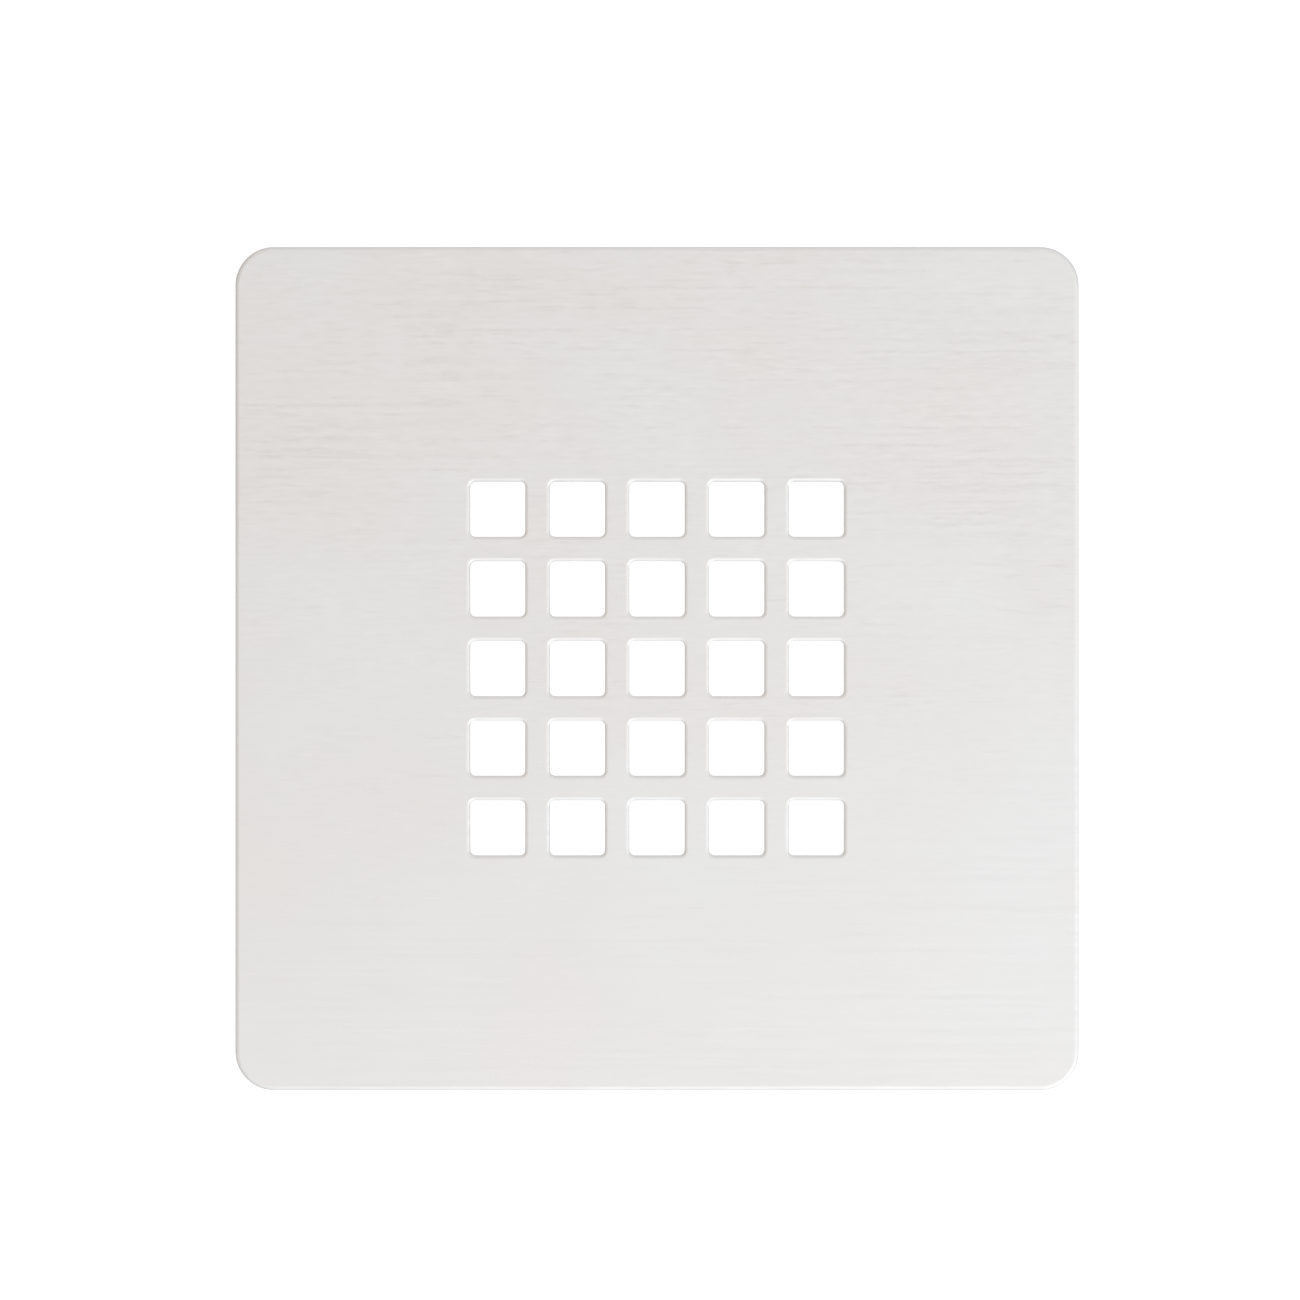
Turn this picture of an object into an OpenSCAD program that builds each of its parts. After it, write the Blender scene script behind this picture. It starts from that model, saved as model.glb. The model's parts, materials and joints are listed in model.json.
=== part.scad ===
// Floor drain grate for a shower: a brushed stainless sheet with a square field of square holes, which
// stands on four soft bumpers. Each bumper is stuck under one corner of the sheet by a disc of adhesive.
//
// Frame: +X right, +Y back, +Z up. The origin is under the centre of the sheet, on the surface that the
// bumpers stand on. All sizes are in millimetres.

/* [Sheet] */
// Side of the square sheet
sheet_side = 120; // [100:1:160]
// Thickness of the sheet
sheet_t = 2; // [1.5:0.1:3]
// Radius of the sheet's corners, seen from above
sheet_corner_r = 5.5; // [2:0.5:10]
// Radius that rounds the sheet's upper rim
rim_round_r = 0.7; // [0.2:0.1:1.2]

/* [Holes] */
// Number of holes along each side of the field
holes_per_side = 5; // [3:1:6]
// Side of a square hole
hole_side = 7.9; // [6:0.1:10]
// Radius of a hole's corners, seen from above
hole_corner_r = 0.8; // [0.6:0.1:2]
// Width of the bar between two holes
bar_w = 3.45; // [2.5:0.05:5]
// Radius that rounds the upper edge of a hole
hole_round_r = 0.5; // [0.2:0.1:0.9]

/* [Bumpers] */
// Diameter of a bumper
bumper_d = 10; // [6:0.5:14]
// Height of a bumper, without its adhesive
bumper_h = 3; // [1.5:0.1:5]
// Radius that rounds a bumper's foot
bumper_round_r = 0.8; // [0.3:0.1:1.2]
// Gap between a bumper's edge and the sheet's sides, seen from above
bumper_clearance = 7; // [3:0.5:12]

/* [Adhesive] */
// Thickness of the adhesive disc between a bumper and the sheet
adhesive_t = 0.3; // [0.2:0.05:1]
// How far the adhesive disc stays inside the bumper's edge
adhesive_margin = 0.5; // [0.2:0.1:1.5]

/* [Hidden] */
// Name of each corner, with the side of the sheet's centre that it lies on in X and in Y
CORNERS = [
    ["front_left", [-1, -1]],
    ["front_right", [1, -1]],
    ["back_left", [-1, 1]],
    ["back_right", [1, 1]],
];

$fn = 64;
// How far a cutting tool runs past the face that it cuts. It stays under hole_corner_r.
cut_past = 0.5;
// Underside of the adhesive discs, and underside of the sheet
adhesive_z = bumper_h;
sheet_z = adhesive_z + adhesive_t;
hole_pitch = hole_side + bar_w;
// Distance from the centre to a bumper's axis, in X and in Y
bumper_at = sheet_side / 2 - bumper_clearance - bumper_d / 2;

// A square with round corners, centred on the origin
module rounded_square(side, corner_r) {
    straight = side - 2 * corner_r;
    square([side, straight], center = true);
    square([straight, side], center = true);
    for (x = [-1, 1], y = [-1, 1])
        translate([x, y] * straight / 2)
            circle(corner_r);
}

// Sweeps a profile once round the outline of a rounded square. The profile's x is 0 on the outline and
// grows out of the square, and its y is height.
module sweep_round_outline(side, corner_r) {
    straight = side - 2 * corner_r;
    for (turn = [0 : 90 : 270])
        rotate(turn) {
            translate([straight / 2, straight / 2, 0])
                rotate_extrude(angle = 90)
                    translate([corner_r, 0])
                        children();
            translate([side / 2, straight / 2, 0])
                rotate([90, 0, 0])
                    linear_extrude(straight)
                        children();
        }
}

// Profile of what rounding takes off an upper edge at the origin, where the metal lies at x > 0
module round_waste(round_r) {
    difference() {
        translate([-cut_past, -round_r])
            square(round_r + cut_past);
        translate([round_r, -round_r])
            circle(round_r);
    }
}

// Cutting tool that rounds the rim. The rim's upper edge is at height 0.
module rim_tool() {
    sweep_round_outline(sheet_side, sheet_corner_r)
        mirror([1, 0])
            round_waste(rim_round_r);
}

// Cutting tool for one hole, whose upper edge is at height 0
module hole_tool() {
    translate([0, 0, -sheet_t - cut_past])
        linear_extrude(sheet_t + 2 * cut_past)
            rounded_square(hole_side, hole_corner_r);
    sweep_round_outline(hole_side, hole_corner_r)
        round_waste(hole_round_r);
}

module grate_sheet() {
    first = -(holes_per_side - 1) / 2 * hole_pitch;
    color("gainsboro")
        translate([0, 0, sheet_z + sheet_t])
            difference() {
                translate([0, 0, -sheet_t])
                    linear_extrude(sheet_t)
                        rounded_square(sheet_side, sheet_corner_r);
                rim_tool();
                for (column = [0 : holes_per_side - 1], row = [0 : holes_per_side - 1])
                    translate([first + column * hole_pitch, first + row * hole_pitch, 0])
                        hole_tool();
            }
}

// Moves its children to the place of the bumper at one corner
module at_bumper(corner) {
    translate([corner[1].x, corner[1].y, 0] * bumper_at)
        children();
}

module bumper() {
    bumper_r = bumper_d / 2;
    color("whitesmoke")
        rotate_extrude() {
            square([bumper_r - bumper_round_r, bumper_h]);
            translate([0, bumper_round_r])
                square([bumper_r, bumper_h - bumper_round_r]);
            translate([bumper_r - bumper_round_r, bumper_round_r])
                circle(bumper_round_r);
        }
}

module adhesive() {
    color("white")
        translate([0, 0, adhesive_z])
            cylinder(h = adhesive_t, d = bumper_d - 2 * adhesive_margin);
}

grate_sheet();
for (corner = CORNERS) {
    at_bumper(corner) bumper();
    at_bumper(corner) adhesive();
}
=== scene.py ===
"""Looks of the floor drain grate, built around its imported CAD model. Lengths are in metres."""
import json
import math
import bpy
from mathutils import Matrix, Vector


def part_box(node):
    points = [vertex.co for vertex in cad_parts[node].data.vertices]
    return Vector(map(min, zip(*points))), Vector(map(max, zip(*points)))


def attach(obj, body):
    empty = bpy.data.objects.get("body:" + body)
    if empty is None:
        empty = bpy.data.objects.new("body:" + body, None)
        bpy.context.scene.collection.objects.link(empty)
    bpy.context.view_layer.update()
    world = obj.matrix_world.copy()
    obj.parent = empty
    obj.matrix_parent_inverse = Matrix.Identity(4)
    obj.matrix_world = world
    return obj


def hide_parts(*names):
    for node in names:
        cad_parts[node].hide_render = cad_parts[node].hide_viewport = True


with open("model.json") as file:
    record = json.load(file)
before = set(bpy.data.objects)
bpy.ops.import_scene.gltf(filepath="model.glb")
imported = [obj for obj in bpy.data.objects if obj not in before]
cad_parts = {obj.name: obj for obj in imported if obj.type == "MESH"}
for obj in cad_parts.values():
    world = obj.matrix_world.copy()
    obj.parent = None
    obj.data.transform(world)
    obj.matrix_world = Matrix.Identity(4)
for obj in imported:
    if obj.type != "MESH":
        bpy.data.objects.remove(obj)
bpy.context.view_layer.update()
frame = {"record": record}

MM = 0.001

# Sizes of the object. Where the sheet, its holes and the bumpers are comes from the frame.
SHEET_CORNER_R = 5.5 * MM
HOLE_SIDE = 7.9 * MM
HOLE_CORNER_R = 0.8 * MM
RIM_SHOULDER = 0.65 * MM        # width, seen from above, of the strip that the punch drew down along the rim
HOLE_SHOULDER = 0.5 * MM        # the same round a hole
SHOULDER_TILT = 30.0            # degrees that the shoulder has turned down where it ends
UPPER_BREAK_R = 0.08 * MM       # tumbled break between the shoulder and the wall
UNDER_BREAK_R = 0.15 * MM       # deburred break on the sheet's lower edges
BUMPER_ROUND_R = 0.8 * MM

CORNERS = ("front_left", "front_right", "back_left", "back_right")


# ---------------------------------------------------------------- mesh tools

NEAR = 1e-9                     # metres, or parts of a direction, that count as nothing
WELD = 1e-7                     # metres within which two vertices become one


def linked(name, data):
    """A new object that shows this mesh, light or camera."""
    thing = bpy.data.objects.new(name, data)
    bpy.context.scene.collection.objects.link(thing)
    return thing


def mesh_of(name, points, faces, materials):
    mesh = bpy.data.meshes.new(name)
    mesh.from_pydata(points, [], faces)
    for material in materials:
        mesh.materials.append(material)
    mesh.polygons.foreach_set("use_smooth", [True] * len(faces))
    return mesh


class SurfaceMesh:
    """Vertices with their exact normals, welded as they are added, and faces with a material number."""

    def __init__(self):
        self.points, self.normals, self.index = [], [], {}
        self.faces, self.materials = [], []

    def vertex(self, point, normal):
        key = tuple(round(value / WELD) for value in point)
        if key not in self.index:
            self.index[key] = len(self.points)
            self.points.append(tuple(point))
            self.normals.append(Vector(normal).normalized())
        return self.index[key]

    def face(self, corners, material):
        """A face without the corners that were welded to the one before, if enough are left."""
        kept = [v for n, v in enumerate(corners) if v != corners[n - 1]]
        if len(kept) >= 3:
            self.faces.append(kept)
            self.materials.append(material)

    def band(self, lower, upper, material):
        """Quads between two closed rings of vertices. They face out of a ring that runs anticlockwise."""
        for n in range(len(lower)):
            m = (n + 1) % len(lower)
            self.face([lower[n], lower[m], upper[m], upper[n]], material)

    def build(self, name, materials):
        """The mesh as an object, with its normals, and with UV coordinates that carry the brush direction."""
        mesh = mesh_of(name, self.points, self.faces, materials)
        mesh.polygons.foreach_set("material_index", self.materials)
        mesh.normals_split_custom_set_from_vertices(self.normals)
        layer = mesh.uv_layers.new(name="UVMap")
        for loop in mesh.loops:
            x, y, z = mesh.vertices[loop.vertex_index].co
            layer.data[loop.index].uv = (x, y + z)
        return linked(name, mesh)


def spread(start, end, steps):
    """steps + 1 numbers from start to end, evenly apart."""
    return [start + (end - start) * n / steps for n in range(steps + 1)]


def quarter_turned(x, y, turns):
    """A point or a direction after that many quarter turns about the origin."""
    for _ in range(turns):
        x, y = -y, x
    return x, y


def outline(half, corner_r, stops, arc_steps):
    """A rounded square of half side `half`, anticlockwise, as (point, outward direction) pairs in 2D.
    stops are the places of the vertices along each straight side, with both of its ends."""
    centre = half - corner_r
    ring = []
    for turns in range(4):
        side = [((half, s), (1, 0)) for s in stops]
        for step in range(1, arc_steps):
            angle = math.pi / 2 * step / arc_steps
            out = (math.cos(angle), math.sin(angle))
            side.append(((centre + corner_r * out[0], centre + corner_r * out[1]), out))
        ring += [(quarter_turned(*p, turns), quarter_turned(*out, turns)) for p, out in side]
    return ring


# ---------------------------------------------------------------- the sheet

TOP, WALL, UNDER = range(3)     # material numbers on the sheet
HOLE_SIDE_STEPS = 4
HOLE_ARC_STEPS = 8
RIM_ARC_STEPS = 20
MARGIN_STEPS = 10
SHOULDER_STEPS = 6
BREAK_STEPS = 3


def edge_profile(top, bottom, shoulder, metal):
    """Rings of a punched edge, down from the upper face: a rolled-over shoulder, a small break, the wall and
    the lower break. Each is (offset outwards, height, outward part of the normal, upward part of the normal,
    material of the band that follows). metal is -1 where the metal lies inside the outline, and 1 where it
    lies outside, as it does round a hole."""
    tilt, upright = math.radians(SHOULDER_TILT), math.pi / 2
    roll_r = (shoulder - UPPER_BREAK_R * (1 - math.sin(tilt))) / math.sin(tilt)
    inset, height = shoulder, top
    rings = [(metal * inset, height, 0, 1, TOP)]
    for radius, start, end, steps in (
            (roll_r, 0, tilt, SHOULDER_STEPS),
            (UPPER_BREAK_R, tilt, upright, BREAK_STEPS)):
        for angle in spread(start, end, steps)[1:]:
            rings.append((metal * (inset - radius * (math.sin(angle) - math.sin(start))),
                          height - radius * (math.cos(start) - math.cos(angle)),
                          -metal * math.sin(angle), math.cos(angle), TOP))
        inset -= radius * (math.sin(end) - math.sin(start))
        height -= radius * (math.cos(start) - math.cos(end))
    rings[-1] = (*rings[-1][:-1], WALL)
    for angle in spread(0, upright, BREAK_STEPS):
        rings.append((metal * UNDER_BREAK_R * (1 - math.cos(angle)),
                      bottom + UNDER_BREAK_R * (1 - math.sin(angle)),
                      -metal * math.cos(angle), -math.sin(angle), WALL))
    return rings


def add_edge(surface, ring, centre, profile, metal):
    """Sweeps an edge's profile round an outline, and returns its first and last ring of vertices."""
    rings = []
    for offset, height, outward, upward, _ in profile:
        rings.append([
            surface.vertex((centre[0] + x + offset * out_x, centre[1] + y + offset * out_y, height),
                           (outward * out_x, outward * out_y, upward))
            for (x, y), (out_x, out_y) in ring
        ])
    for upper, lower, (*_, material) in zip(rings, rings[1:], profile):
        if metal < 0:
            surface.band(lower, upper, material)
        else:
            surface.band(upper, lower, material)
    return rings[0], rings[-1]


def cell_border(cell_half, ring_centre, ring):
    """The point of a hole's cell border that each point of the hole's outline looks at. The corners of the
    outline are arcs about points ring_centre away from its middle in X and in Y."""
    border = []
    for (x, y), (out_x, out_y) in ring:
        if abs(out_y) < NEAR:
            border.append((math.copysign(cell_half, out_x), y))
            continue
        if abs(out_x) < NEAR:
            border.append((x, math.copysign(cell_half, out_y)))
            continue
        start_x = math.copysign(ring_centre, out_x)
        start_y = math.copysign(ring_centre, out_y)
        reach = min((cell_half - ring_centre) / abs(out_x), (cell_half - ring_centre) / abs(out_y))
        border.append((start_x + reach * out_x, start_y + reach * out_y))
    return border


def add_holes(surface, holes, cell_half, low, high):
    """Every hole with the flat metal of its own square cell. Returns the cell's border round its centre."""
    straight = HOLE_SIDE / 2 - HOLE_CORNER_R
    ring = outline(HOLE_SIDE / 2, HOLE_CORNER_R, spread(-straight, straight, HOLE_SIDE_STEPS), HOLE_ARC_STEPS)
    border = cell_border(cell_half, straight, ring)
    profile = edge_profile(high.z, low.z, HOLE_SHOULDER, 1)
    for centre in holes:
        first, last = add_edge(surface, ring, centre, profile, 1)
        upper, lower = (
            [surface.vertex((centre[0] + x, centre[1] + y, z), (0, 0, up)) for x, y in border]
            for z, up in ((high.z, 1), (low.z, -1)))
        surface.band(upper, first, TOP)
        surface.band(last, lower, UNDER)
    return border


def add_margin(surface, rim, stops, rim_straight, field_half, z, up, material):
    """One face of the sheet between the field of holes and the rim, whose vertices are rim. stops are the
    places of its vertices, alike in X and in Y."""
    def flat(corners):
        corners = [surface.vertex((x, y, z), (0, 0, up)) for x, y in corners]
        surface.face(corners if up > 0 else corners[::-1], material)

    # A lattice round the field
    for x0, x1 in zip(stops, stops[1:]):
        for y0, y1 in zip(stops, stops[1:]):
            if max(abs(x0 + x1), abs(y0 + y1)) / 2 > field_half:
                flat([(x0, y0), (x1, y0), (x1, y1), (x0, y1)])

    # From the lattice to the rim: strips along the sides and fans in the corners
    per_side = len(stops) + RIM_ARC_STEPS - 1
    for turns in range(4):
        for n in range(per_side):
            start = turns * per_side + n
            outer = [surface.points[rim[(start + k) % len(rim)]][:2] for k in (0, 1)]
            if n < len(stops) - 1:
                inner = [quarter_turned(rim_straight, stops[n + k], turns) for k in (0, 1)]
                flat([inner[0], outer[0], outer[1], inner[1]])
            else:
                flat([quarter_turned(rim_straight, rim_straight, turns), outer[0], outer[1]])


def make_sheet(materials):
    """The whole sheet as one closed mesh. Its holes are where the record's openings are."""
    low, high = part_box("grate_sheet")
    half = (high.x - low.x) / 2
    boxes = [Vector(o["box_m"][0]) + Vector(o["box_m"][1]) for o in frame["record"]["physics"]["openings"]]
    holes = [(b.x / 2, b.y / 2) for b in boxes]
    columns = sorted({round(x, 6) for x, _ in holes})
    pitch = columns[1] - columns[0]
    field_half = columns[-1] + pitch / 2
    surface = SurfaceMesh()
    border = add_holes(surface, holes, pitch / 2, low, high)

    # Places of the vertices between the field of holes and the rim
    cell_stops = sorted({round(y, 9) for x, y in border if abs(x - pitch / 2) < NEAR})
    inside = {round(column + stop, 7) for column in columns for stop in cell_stops}
    rim_straight = half - SHEET_CORNER_R
    margin = spread(field_half, rim_straight, MARGIN_STEPS)
    stops = sorted({round(stop, 7) for stop in [*margin, *[-m for m in margin], *inside]})

    rim = outline(half, SHEET_CORNER_R, stops, RIM_ARC_STEPS)
    first, last = add_edge(surface, rim, (0, 0), edge_profile(high.z, low.z, RIM_SHOULDER, -1), -1)
    add_margin(surface, first, stops, rim_straight, field_half, high.z, 1, TOP)
    add_margin(surface, last, stops, rim_straight, field_half, low.z, -1, UNDER)
    return surface.build("sheet", materials)


# ---------------------------------------------------------------- bumpers and adhesive

LATHE_STEPS = 96


def lathe(name, centre, profile, material, wobble=lambda angle: 0.0):
    """Turns a profile of (radius, height) pairs about the vertical through centre. The profile starts and
    ends on the axis, at the bottom and at the top. wobble gives what is added to the radius at an angle."""
    points, faces = [(*centre, profile[0][1])], []
    for radius, height in profile[1:-1]:
        for n in range(LATHE_STEPS):
            angle = 2 * math.pi * n / LATHE_STEPS
            at = radius + wobble(angle)
            points.append((centre[0] + at * math.cos(angle), centre[1] + at * math.sin(angle), height))
    points.append((*centre, profile[-1][1]))
    starts = range(1, len(points) - 1, LATHE_STEPS)         # the first point of each ring
    for n in range(LATHE_STEPS):
        m = (n + 1) % LATHE_STEPS
        faces.append((0, starts[0] + m, starts[0] + n))
        for a, b in zip(starts, starts[1:]):
            faces.append((a + n, a + m, b + m, b + n))
        faces.append((starts[-1] + n, starts[-1] + m, len(points) - 1))
    return linked(name, mesh_of(name, points, faces, [material]))


def arc(centre_r, centre_z, radius, start, end, steps):
    """Points of an arc in a profile. Angles are in degrees, from outwards to upwards."""
    return [(centre_r + radius * math.cos(math.radians(a)), centre_z + radius * math.sin(math.radians(a)))
            for a in spread(start, end, steps)]


def make_bumper(corner, material):
    """A moulded bumper with a round foot that is slightly hollow, and a parting line."""
    low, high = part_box(f"bumper_{corner}")
    radius = (high.x - low.x) / 2
    centre = ((low.x + high.x) / 2, (low.y + high.y) / 2)
    top_r = 0.2 * MM
    dish = 0.12 * MM            # how far the foot is hollow
    seam = 0.04 * MM            # how far the parting line stands out
    seam_z = 0.62 * (high.z - low.z)
    foot_r = radius - BUMPER_ROUND_R - seam
    wall_r = radius - seam
    profile = [(0, low.z + dish)]
    profile += [(foot_r * s, low.z + dish * (1 - s ** 2) ** 2) for s in spread(0.12, 0.96, 7)]
    profile += arc(foot_r, low.z + BUMPER_ROUND_R, BUMPER_ROUND_R, -90, 0, 10)
    profile += [(wall_r, seam_z - 0.12 * MM), (wall_r, seam_z - 0.06 * MM), (radius, seam_z - 0.02 * MM),
                (radius, seam_z + 0.02 * MM), (wall_r, seam_z + 0.06 * MM), (wall_r, seam_z + 0.12 * MM)]
    profile += arc(wall_r - top_r, high.z - top_r, top_r, 0, 90, 5)
    profile += [((wall_r - top_r) * s, high.z) for s in (0.97, 0.6)]
    profile += [(0, high.z)]
    return lathe(f"bumper_{corner}_moulded", centre, profile, material)


def make_adhesive(corner, number, material):
    """A disc of film with a soft, slightly uneven edge. number makes each disc's edge another one."""
    low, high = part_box(f"adhesive_{corner}")
    radius = (high.x - low.x) / 2
    centre = ((low.x + high.x) / 2, (low.y + high.y) / 2)
    squeeze = 0.07 * MM         # how uneven the edge is
    edge_r = (high.z - low.z) / 2
    inner = radius - squeeze - edge_r

    def wobble(angle):
        return squeeze * (0.5 * math.sin(3 * angle + number) + 0.3 * math.sin(7 * angle + 2 * number)
                          + 0.2 * math.sin(13 * angle + 5 * number))

    profile = [(0, low.z), (inner * 0.5, low.z), (inner * 0.97, low.z)]
    profile += arc(inner, low.z + edge_r, edge_r, -90, 90, 8)
    profile += [(inner * 0.97, high.z), (inner * 0.5, high.z), (0, high.z)]
    return lathe(f"adhesive_{corner}_film", centre, profile, material, wobble)


# ---------------------------------------------------------------- materials

class Graph:
    """A material's nodes, with short calls that make and link them. Its coordinates are the object's own, in
    metres."""

    def __init__(self, name, **shader):
        self.material = bpy.data.materials.new(name)
        self.material.use_nodes = True
        self.tree = self.material.node_tree
        self.shader = self.tree.nodes["Principled BSDF"]
        for socket, value in shader.items():
            self.shader.inputs[socket.replace("_", " ")].default_value = value
        self.place = self.add("ShaderNodeTexCoord").outputs["Object"]

    def add(self, kind, inputs=(), **settings):
        node = self.tree.nodes.new(kind)
        for name, value in settings.items():
            setattr(node, name, value)
        for name, value in dict(inputs).items():
            self.set(node.inputs[name], value)
        return node

    def set(self, socket, value):
        if isinstance(value, bpy.types.NodeSocket):
            self.tree.links.new(value, socket)
        else:
            socket.default_value = value

    def noise(self, size, detail=3.0, roughness=0.55, shift=(0, 0, 0)):
        """Noise whose features are about size = (x, y, z) metres across, from 0 to 1 around 0.5."""
        mapped = self.add("ShaderNodeMapping", {
            "Vector": self.place, "Location": shift, "Scale": [1 / s for s in size]})
        return self.add("ShaderNodeTexNoise", {
            "Vector": mapped.outputs["Vector"], "Scale": 1.0, "Detail": detail, "Roughness": roughness,
        }).outputs["Fac"]

    def remap(self, value, low, high, to_low=0.0, to_high=1.0):
        return self.add("ShaderNodeMapRange", {
            "Value": value, "From Min": low, "From Max": high, "To Min": to_low, "To Max": to_high,
        }, clamp=True).outputs["Result"]

    def math(self, operation, a, b):
        node = self.add("ShaderNodeMath", operation=operation)
        self.set(node.inputs[0], a)
        self.set(node.inputs[1], b)
        return node.outputs[0]

    def weighted(self, *parts):
        """The sum of (value, weight) pairs."""
        total = self.math("MULTIPLY", *parts[0])
        for value, weight in parts[1:]:
            total = self.math("ADD", total, self.math("MULTIPLY", value, weight))
        return total

    def colour(self, factor, first, second):
        node = self.add("ShaderNodeMix", data_type="RGBA")
        colours = [s for s in node.inputs if s.type == "RGBA"]
        self.set(node.inputs["Factor"], factor)
        self.set(colours[0], first)
        self.set(colours[1], second)
        return [s for s in node.outputs if s.type == "RGBA"][0]

    def bump(self, height, depth):
        node = self.add("ShaderNodeBump", {"Height": height, "Distance": depth, "Strength": 1.0})
        self.set(self.shader.inputs["Normal"], node.outputs["Normal"])


def rgb(red, green, blue):
    return (red, green, blue, 1.0)


def brushed_top():
    """Satin stainless steel: fine lines along X, broken into strokes, that fade towards the front, with a
    faint warm and cool patchiness."""
    g = Graph("brushed_stainless", Metallic=1.0, Anisotropic=0.55, Anisotropic_Rotation=0.25)
    fine = g.noise((2.8 * MM, 0.50 * MM, 1.0), 1.0)
    middle = g.noise((8 * MM, 0.8 * MM, 1.0), 2.0, shift=(0.3, 0.7, 0))
    long = g.noise((70 * MM, 0.6 * MM, 1.0), 2.0, shift=(0.9, 0.1, 0))
    strokes = g.remap(g.noise((16 * MM, 5 * MM, 1.0), 2.0, shift=(0.5, 0.2, 0)), 0.35, 0.65, 0.45, 1.0)
    back = g.add("ShaderNodeSeparateXYZ", {"Vector": g.place}).outputs["Y"]
    ragged = g.remap(g.noise((50 * MM, 30 * MM, 1.0), 2.0), 0.3, 0.7, -14 * MM, 14 * MM)
    fade = g.remap(g.math("ADD", back, ragged), -34 * MM, 30 * MM, 0.46, 1.0)
    lines = g.weighted((fine, 0.46), (middle, 0.28), (long, 0.26))
    scratch = g.remap(g.noise((9 * MM, 0.16 * MM, 1.0), 1.0, shift=(2.1, 1.3, 0)), 0.70, 0.78)
    patches = g.noise((42 * MM, 30 * MM, 1.0), 3.0, shift=(0.1, 0.4, 0))
    steel = g.colour(g.remap(patches, 0.35, 0.65), rgb(0.646, 0.638, 0.634), rgb(0.655, 0.662, 0.666))
    shade = g.math("MULTIPLY", g.remap(lines, 0.34, 0.66, -1.0, 1.0), g.math("MULTIPLY", strokes, fade))
    shade = g.remap(shade, -1.0, 1.0, 0.0, 1.0)
    lit = g.colour(shade, rgb(0.923, 0.923, 0.923), rgb(1.009, 1.009, 1.009))
    base = g.add("ShaderNodeVectorMath", operation="MULTIPLY")
    g.set(base.inputs[0], steel)
    g.set(base.inputs[1], lit)
    worn = g.colour(g.math("MULTIPLY", scratch, 0.5), base.outputs[0], rgb(0.56, 0.555, 0.545))
    g.set(g.shader.inputs["Base Color"], worn)
    worn_lines = g.weighted((fine, 0.20), (middle, 0.35), (long, 0.45))
    g.set(g.shader.inputs["Roughness"],
          g.remap(g.weighted((worn_lines, 0.8), (patches, 0.2)), 0.37, 0.63, 0.24, 0.48))
    g.bump(g.weighted((lines, 1.0), (scratch, -0.6)), 0.005 * MM)
    tangent = g.add("ShaderNodeTangent", direction_type="UV_MAP", uv_map="UVMap")
    g.set(g.shader.inputs["Tangent"], tangent.outputs["Tangent"])
    return g.material


def cut_wall():
    """The punched wall of a hole or of the rim: bright where the punch burnished it, duller with upright
    tear lines below."""
    g = Graph("punched_edge", Metallic=1.0)
    upright = g.noise((0.12 * MM, 0.12 * MM, 2.2 * MM), 3.0)
    grain = g.noise((0.07 * MM, 0.07 * MM, 0.07 * MM), 2.0, shift=(0.2, 0.2, 0.2))
    low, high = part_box("grate_sheet")
    height = g.add("ShaderNodeSeparateXYZ", {"Vector": g.place}).outputs["Z"]
    ragged = g.remap(g.noise((0.6 * MM, 0.6 * MM, 4 * MM), 2.0), 0, 1, -0.15 * MM, 0.15 * MM)
    burnished_z, torn_z = (low.z + share * (high.z - low.z) for share in (0.62, 0.54))
    torn = g.remap(g.math("ADD", height, ragged), burnished_z, torn_z)
    dull = g.colour(upright, rgb(0.50, 0.49, 0.475), rgb(0.60, 0.595, 0.58))
    bright = g.colour(upright, rgb(0.61, 0.605, 0.59), rgb(0.68, 0.675, 0.665))
    g.set(g.shader.inputs["Base Color"], g.colour(torn, bright, dull))
    g.set(g.shader.inputs["Roughness"], g.math(
        "ADD", g.remap(torn, 0, 1, 0.24, 0.46), g.remap(grain, 0.3, 0.7, 0, 0.08)))
    g.bump(g.weighted((upright, 0.7), (g.math("MULTIPLY", grain, torn), 0.5)), 0.012 * MM)
    return g.material


def mill_underside():
    """The underside, left as it came from the mill: dull, without brush lines, with rolling marks."""
    g = Graph("mill_finish_underside", Metallic=1.0)
    mottle = g.noise((0.5 * MM, 0.35 * MM, 1.0), 4.0, 0.65)
    rolling = g.noise((45 * MM, 0.9 * MM, 1.0), 3.0, shift=(0.4, 0.1, 0))
    clouds = g.noise((24 * MM, 30 * MM, 1.0), 3.0, shift=(0.7, 0.7, 0))
    scuffs = g.remap(g.noise((3.0 * MM, 0.2 * MM, 1.0), 1.0, shift=(1.5, 0.4, 0)), 0.69, 0.75)
    g.set(g.shader.inputs["Base Color"], g.colour(
        g.remap(g.weighted((mottle, 0.3), (rolling, 0.3), (clouds, 0.4)), 0.38, 0.62),
        rgb(0.55, 0.545, 0.53), rgb(0.64, 0.635, 0.62)))
    g.set(g.shader.inputs["Roughness"], g.math(
        "ADD", g.remap(g.weighted((mottle, 0.5), (clouds, 0.5)), 0.35, 0.65, 0.34, 0.46),
        g.math("MULTIPLY", scuffs, -0.1)))
    g.bump(g.weighted((mottle, 0.6), (rolling, 0.4), (scuffs, -0.4)), 0.006 * MM)
    return g.material


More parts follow.
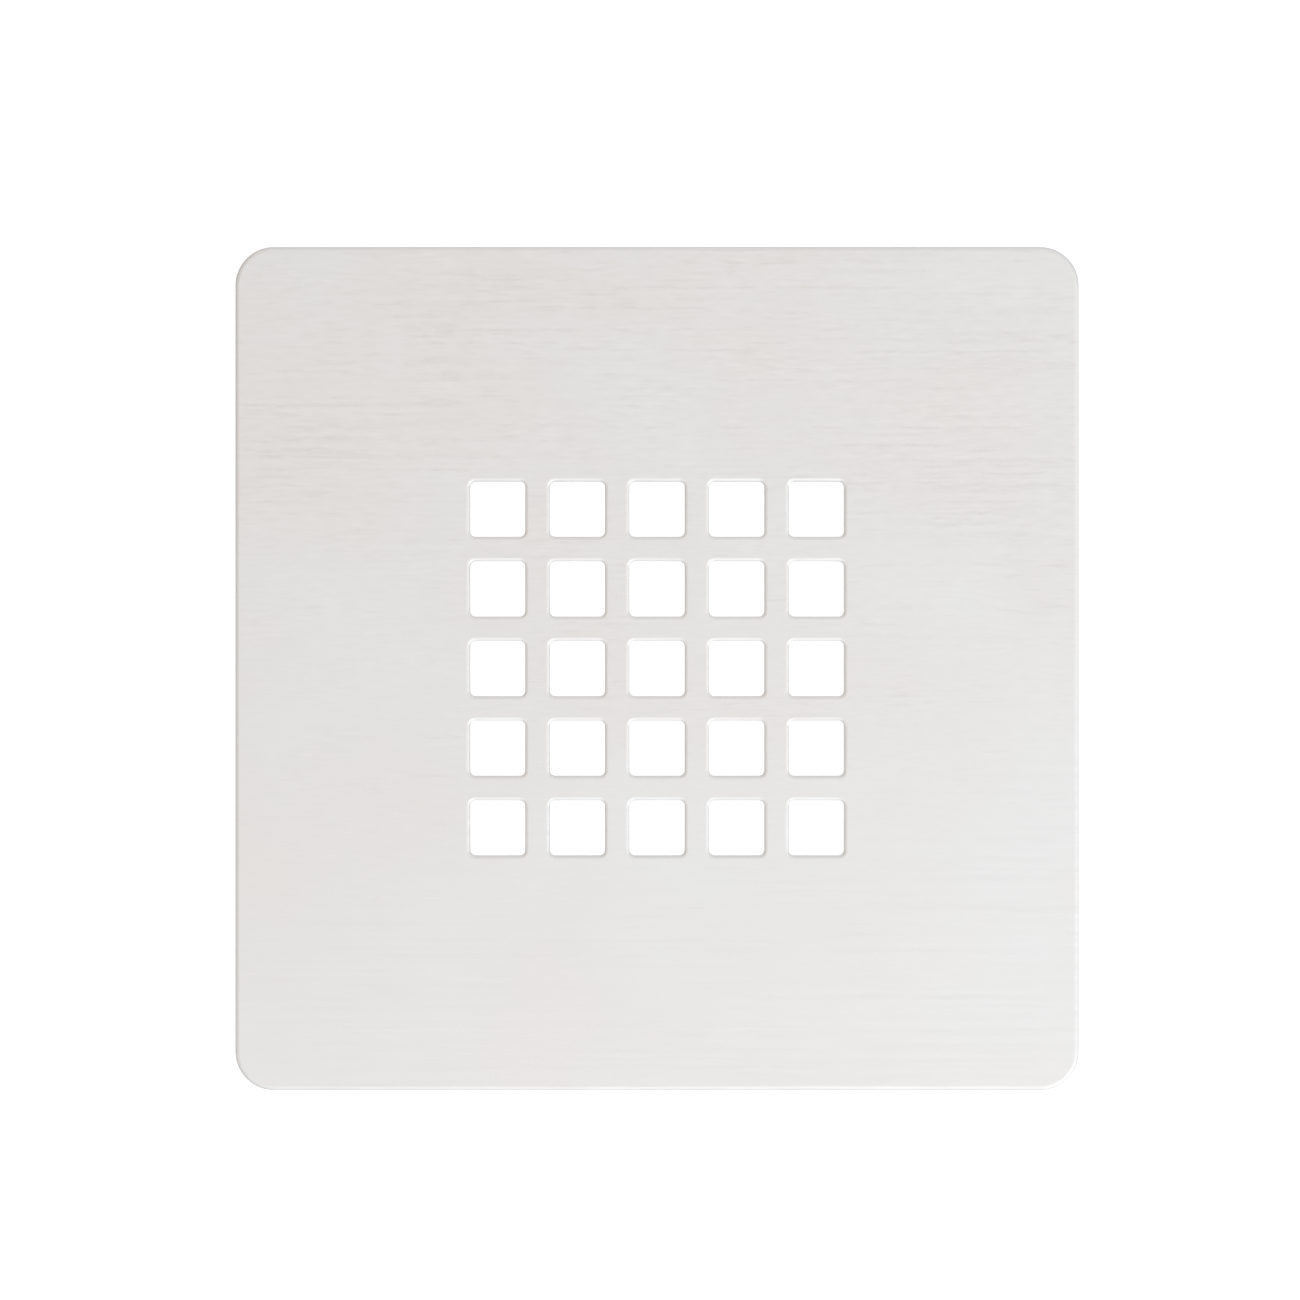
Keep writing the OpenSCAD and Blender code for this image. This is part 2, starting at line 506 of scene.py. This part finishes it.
def soft_rubber():
    """Cloudy moulded elastomer with a faint orange-peel skin and the odd speck of dust."""
    g = Graph("soft_elastomer", Subsurface_Weight=0.35, Subsurface_Scale=0.0015, IOR=1.5)
    cloud = g.noise((3 * MM, 3 * MM, 2 * MM), 3.0)
    skin = g.noise((0.16 * MM, 0.16 * MM, 0.16 * MM), 2.0)
    dust = g.remap(g.noise((0.5 * MM, 0.3 * MM, 0.4 * MM), 1.0, shift=(3, 1, 2)), 0.74, 0.79)
    base = g.colour(g.remap(cloud, 0.3, 0.7), rgb(0.53, 0.56, 0.565), rgb(0.62, 0.64, 0.64))
    dusty = g.colour(g.math("MULTIPLY", dust, 0.5), base, rgb(0.36, 0.345, 0.325))
    g.set(g.shader.inputs["Base Color"], dusty)
    g.set(g.shader.inputs["Roughness"],
          g.remap(g.weighted((skin, 0.4), (cloud, 0.6)), 0.35, 0.65, 0.32, 0.50))
    g.bump(g.weighted((skin, 1.0), (cloud, 0.3)), 0.010 * MM)
    return g.material


def adhesive_film():
    """Off-white acrylic foam film, with fine open pores on its cut edge, each darkened with painted shade
    inside it.
    """
    g = Graph("adhesive_foam", Subsurface_Weight=0.15, Subsurface_Scale=0.0008, IOR=1.45)
    pores = g.remap(g.noise((0.09 * MM, 0.09 * MM, 0.09 * MM), 2.0), 0.40, 0.60)
    tone = g.noise((1.6 * MM, 1.6 * MM, 1.0 * MM), 3.0, shift=(1, 2, 0))
    base = g.colour(g.remap(tone, 0.35, 0.65), rgb(0.76, 0.72, 0.62), rgb(0.84, 0.81, 0.73))
    # Painted shade: the colour turns darker brown where the pores sink in, as if shade fell inside them.
    painted_pore_shade = g.math("MULTIPLY", g.math("SUBTRACT", 1.0, pores), 0.35)
    g.set(g.shader.inputs["Base Color"], g.colour(painted_pore_shade, base, rgb(0.50, 0.47, 0.40)))
    g.set(g.shader.inputs["Roughness"], g.remap(pores, 0, 1, 0.75, 0.58))
    g.bump(pores, 0.02 * MM)
    return g.material


# ---------------------------------------------------------------- the pieces

def add_pieces():
    """The detailed pieces, each in the place of its CAD node."""
    sheet = make_sheet([brushed_top(), cut_wall(), mill_underside()])
    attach(sheet, "root")
    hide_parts("grate_sheet")
    rubber = soft_rubber()
    film = adhesive_film()
    for number, corner in enumerate(CORNERS):
        bumper = make_bumper(corner, rubber)
        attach(bumper, "root")
        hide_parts(f"bumper_{corner}")
        disc = make_adhesive(corner, number, film)
        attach(disc, "root")
        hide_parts(f"adhesive_{corner}")


# ---------------------------------------------------------------- studio

SHEET_SHARE = 0.6489            # of the picture's width that the sheet takes, at its upper face
CAMERA_OFFSET = (-1.0 * MM, 2.64 * MM)      # from the sheet's centre, so that the sheet is off the middle
LENS = 100.0
SENSOR = 36.0
FLOOR_HALF = 6.0
FLOOR_GLOW = 0.86
SOFTBOX_SIZE = (0.9, 0.5)

# The tent's strength is OVERHEAD where a direction rises by OVERHEAD_FROM or more, and falls to HORIZON where
# it rises by HORIZON_FROM
OVERHEAD, OVERHEAD_FROM = 2.0, 0.58
HORIZON, HORIZON_FROM = 0.6, 0.12
# Radiance and tint of the tent at OVERHEAD strength. The first number goes from its dim side, 0, to its
# bright one, 1.
TENT = (
    (0.0, 0.42, (1.06, 1.0, 0.94)),
    (0.475, 1.02, (1.085, 1.0, 0.93)),
    (0.55, 1.092, (1.02, 1.0, 0.982)),
    (0.625, 1.147, (1.013, 1.0, 0.986)),
    (0.70, 1.165, (1.004, 1.0, 1.004)),
    (1.0, 2.0, (1.0, 1.0, 1.0)),
)


def add_floor():
    """A pale floor that glows: nearly all its light is its own, so that it stays white inside the holes and
    takes almost no shadow."""
    mesh = bpy.data.meshes.new("floor")
    corners = [(x * FLOOR_HALF, y * FLOOR_HALF, 0) for x, y in ((-1, -1), (1, -1), (1, 1), (-1, 1))]
    mesh.from_pydata(corners, [], [(0, 1, 2, 3)])
    floor = linked("floor", mesh)
    material = bpy.data.materials.new("pale_floor")
    material.use_nodes = True
    shader = material.node_tree.nodes["Principled BSDF"]
    shader.inputs["Base Color"].default_value = rgb(0.30, 0.30, 0.30)
    shader.inputs["Roughness"].default_value = 0.9
    shader.inputs["Specular IOR Level"].default_value = 0.0
    shader.inputs["Emission Color"].default_value = rgb(1.0, 1.0, 1.0)
    shader.inputs["Emission Strength"].default_value = FLOOR_GLOW
    mesh.materials.append(material)


def add_surroundings():
    """A bright tent round the table. It is dimmer and warmer towards the left and the back, brightest at the
    front right, and dim at the horizon. Behind the object the camera sees plain white, not the tent."""
    world = bpy.data.worlds.new("tent")
    bpy.context.scene.world = world
    world.use_nodes = True
    nodes, links = world.node_tree.nodes, world.node_tree.links
    direction = nodes.new("ShaderNodeSeparateXYZ")
    links.new(nodes.new("ShaderNodeTexCoord").outputs["Generated"], direction.inputs["Vector"])

    def remap(value, start, end, to_start=0.0, to_end=1.0):
        node = nodes.new("ShaderNodeMapRange")
        for name, number in zip(("From Min", "From Max", "To Min", "To Max"), (start, end, to_start, to_end)):
            node.inputs[name].default_value = number
        links.new(value, node.inputs["Value"])
        return node.outputs["Result"]

    def added(first, second):
        node = nodes.new("ShaderNodeMath")
        links.new(first, node.inputs[0])
        links.new(second, node.inputs[1])
        return node.outputs["Value"]

    def slope(axis, start, end, gain):
        """What the tent gains along an axis, level outside start to end."""
        return remap(direction.outputs[axis], start, end, start * gain, end * gain)

    gain = added(slope("X", -1.0, 0.40, 0.23), slope("Y", -0.20, 0.115, -0.90))
    gain = added(gain, remap(direction.outputs["Y"], 0.25, 0.80, 0.0, 0.12))
    ramp = nodes.new("ShaderNodeValToRGB")
    links.new(remap(gain, -0.5, 0.3), ramp.inputs["Fac"])
    stops = ramp.color_ramp.elements
    for position, _, _ in TENT[1:-1]:
        stops.new(position)
    for stop, (_, radiance, tint) in zip(stops, TENT):
        stop.color = rgb(*(radiance / OVERHEAD * part for part in tint))

    tent = nodes["Background"]
    links.new(ramp.outputs["Color"], tent.inputs["Color"])
    links.new(remap(direction.outputs["Z"], HORIZON_FROM, OVERHEAD_FROM, HORIZON, OVERHEAD),
              tent.inputs["Strength"])
    backdrop = nodes.new("ShaderNodeBackground")
    backdrop.inputs["Color"].default_value = rgb(1.0, 1.0, 1.0)
    either = nodes.new("ShaderNodeMixShader")
    links.new(nodes.new("ShaderNodeLightPath").outputs["Is Camera Ray"], either.inputs["Fac"])
    links.new(tent.outputs["Background"], either.inputs[1])
    links.new(backdrop.outputs["Background"], either.inputs[2])
    links.new(either.outputs["Shader"], nodes["World Output"].inputs["Surface"])


def add_softbox(name, place, brightness):
    """A rectangular softbox that looks at the object. brightness is its radiance, where the tent's straight
    overhead is about 1.15."""
    light = bpy.data.lights.new(name, "AREA")
    light.shape = "RECTANGLE"
    light.size, light.size_y = SOFTBOX_SIZE
    light.energy = brightness * math.pi * SOFTBOX_SIZE[0] * SOFTBOX_SIZE[1]
    lamp = linked(name, light)
    lamp.location = place
    lamp.rotation_euler = (-Vector(place)).to_track_quat("-Z", "Y").to_euler()
    lamp.visible_camera = False


def add_camera():
    """Straight above, with the sheet a little right of and below the middle of the picture."""
    low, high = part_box("grate_sheet")
    seen = (high.x - low.x) / SHEET_SHARE       # width of the picture at the sheet's upper face
    data = bpy.data.cameras.new("camera")
    data.lens = LENS
    data.sensor_width = SENSOR
    data.clip_start = 0.01
    data.clip_end = 50.0
    camera = linked("camera", data)
    camera.location = (*CAMERA_OFFSET, high.z + seen * LENS / SENSOR)
    bpy.context.scene.camera = camera


add_pieces()
add_floor()
add_surroundings()
add_softbox("right_softbox", (0.82, -0.1, 0.58), 0.16)
add_softbox("front_softbox", (0.1, -0.82, 0.58), 0.03)
add_camera()
bpy.context.scene.view_settings.view_transform = "Standard"
bpy.context.scene.view_settings.look = "None"
